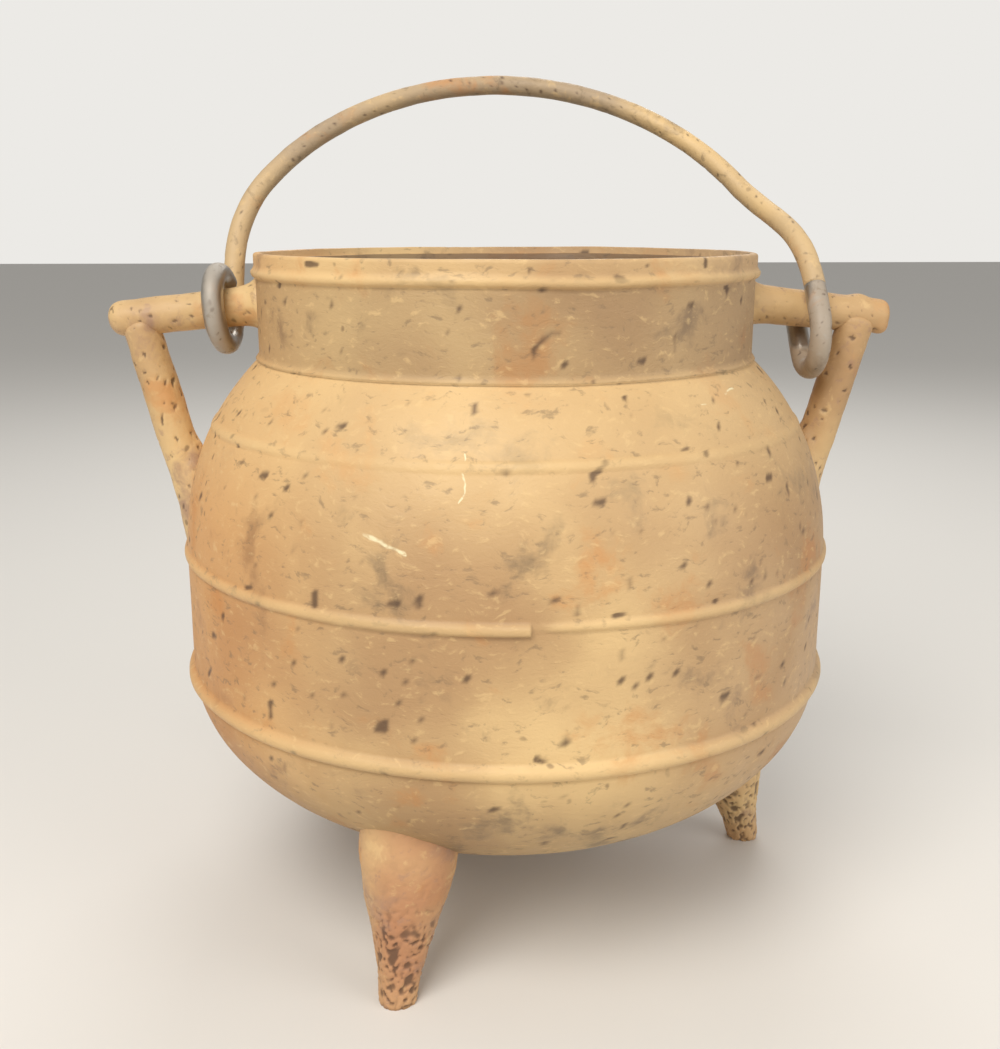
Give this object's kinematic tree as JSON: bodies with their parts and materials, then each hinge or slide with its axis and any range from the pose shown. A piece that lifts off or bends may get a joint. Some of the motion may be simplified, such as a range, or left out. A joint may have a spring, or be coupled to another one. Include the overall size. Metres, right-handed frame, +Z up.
{
  "type": "cauldron",
  "caption": "Round-bellied cast iron cooking pot on splayed legs, with cranked side ears and a swinging forged bail with an eye and an open hook.",
  "frame": {"origin": "on the floor under the feet, on the pot's own axis, at the middle of the bounding box's base", "axes": "+Z up along the pot's axis; +X towards the ear with the open hook, along the line on which the bail turns; +Y away from the picture's viewer, the side to which the bail leans at rest"},
  "size_m": [0.361, 0.3033, 0.3904],
  "materials": {
    "pot_iron": "rusted",
    "leg_iron": "rusted and pitted",
    "ear_iron": "rusted, handled smooth",
    "rod_iron": "rusted forged rod",
    "worn_iron": "forged, worn bright"
  },
  "bodies": {
    "pot": {"vessel": "pot_iron", "leg_right": "leg_iron", "leg_rear": "leg_iron", "leg_front": "leg_iron", "ear_bar_left": "ear_iron", "ear_bar_right": "ear_iron", "ear_strut_left": "ear_iron", "ear_strut_right": "ear_iron"},
    "bail": {"bail_arch": "rod_iron", "bail_eye": "worn_iron", "bail_hook": "worn_iron"}
  },
  "joints": [
    {"name": "bail_swing", "type": "hinge", "parent": "pot", "child": "bail", "pos_m": [0, 0, 0.28], "axis": [1, 0, 0], "range_deg": [-64, 142]}
  ]
}
